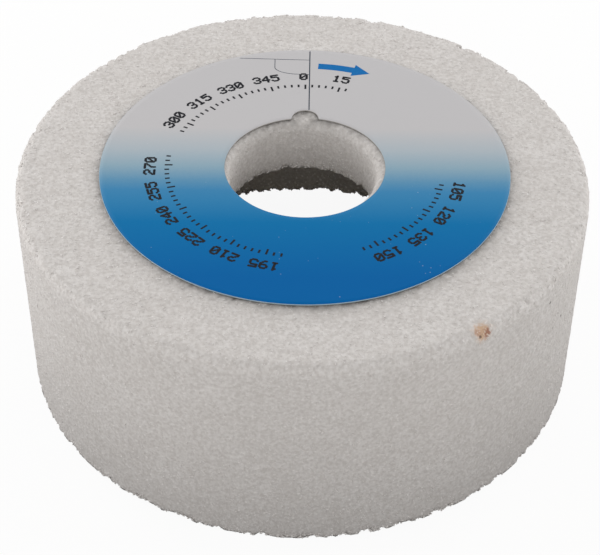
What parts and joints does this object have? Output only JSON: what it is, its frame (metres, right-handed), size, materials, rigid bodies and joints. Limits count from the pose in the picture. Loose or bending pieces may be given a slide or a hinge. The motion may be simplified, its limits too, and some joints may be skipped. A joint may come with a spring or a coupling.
{
  "type": "cup grinding wheel",
  "caption": "Straight cup grinding wheel of white bonded abrasive, standing on its grinding rim, with a central spindle bore and a round paper label on its back.",
  "frame": {"origin": "centre of the grinding rim's plane, on the spindle axis", "axes": "+Z along the spindle axis, from the grinding rim to the back face with the label; +Y towards the notch in the label's hole"},
  "size_m": [0.125, 0.125, 0.0503],
  "materials": {
    "bonded_abrasive": "open-grained, matt, off-white, about 46 grit",
    "printed_paper": "satin print, light grey running to deep blue"
  },
  "bodies": {
    "root": {"abrasive_cup": "bonded_abrasive", "paper_label": "printed_paper"}
  },
  "joints": []
}
